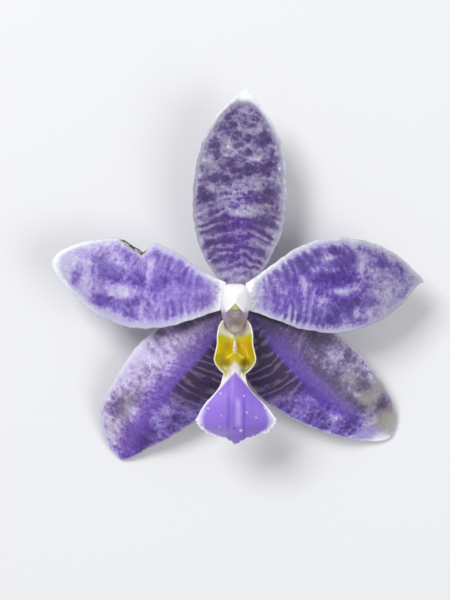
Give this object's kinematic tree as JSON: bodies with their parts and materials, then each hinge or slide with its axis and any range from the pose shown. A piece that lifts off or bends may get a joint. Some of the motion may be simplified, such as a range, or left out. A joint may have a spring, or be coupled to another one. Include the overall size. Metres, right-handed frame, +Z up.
{
  "type": "moth orchid flower",
  "caption": "Open moth orchid bloom with violet-barred sepals and petals, a yellow-throated lip, a white column and its pedicel, lying face up.",
  "frame": {"origin": "centre of the bounding box's bottom face: the point on the resting surface under the middle of the flower", "axes": "+Z up, out of the flower's face; +Y along the dorsal sepal; +X to the right as one looks into the face, along the right petal"},
  "size_m": [0.0704, 0.0714, 0.0186],
  "materials": {
    "sepal_tissue": "satin waxy flower tissue, white ground barred and blotched with violet",
    "petal_tissue": "satin waxy flower tissue, white ground striped and blotched with violet",
    "lip_tissue": "satin fleshy tissue, violet middle lobe, yellow callus, cream side lobes",
    "column_tissue": "smooth waxy white tissue",
    "cap_tissue": "smooth waxy tissue, greenish at the tip",
    "pollen": "waxy golden yellow",
    "green_stalk": "satin fleshy green stem"
  },
  "bodies": {
    "root": {"dorsal_sepal": "sepal_tissue", "lateral_sepal_left": "sepal_tissue", "lateral_sepal_right": "sepal_tissue", "petal_left": "petal_tissue", "petal_right": "petal_tissue", "lip": "lip_tissue", "column": "column_tissue", "anther_cap": "cap_tissue", "pollinarium": "pollen", "pedicel": "green_stalk"}
  },
  "joints": []
}
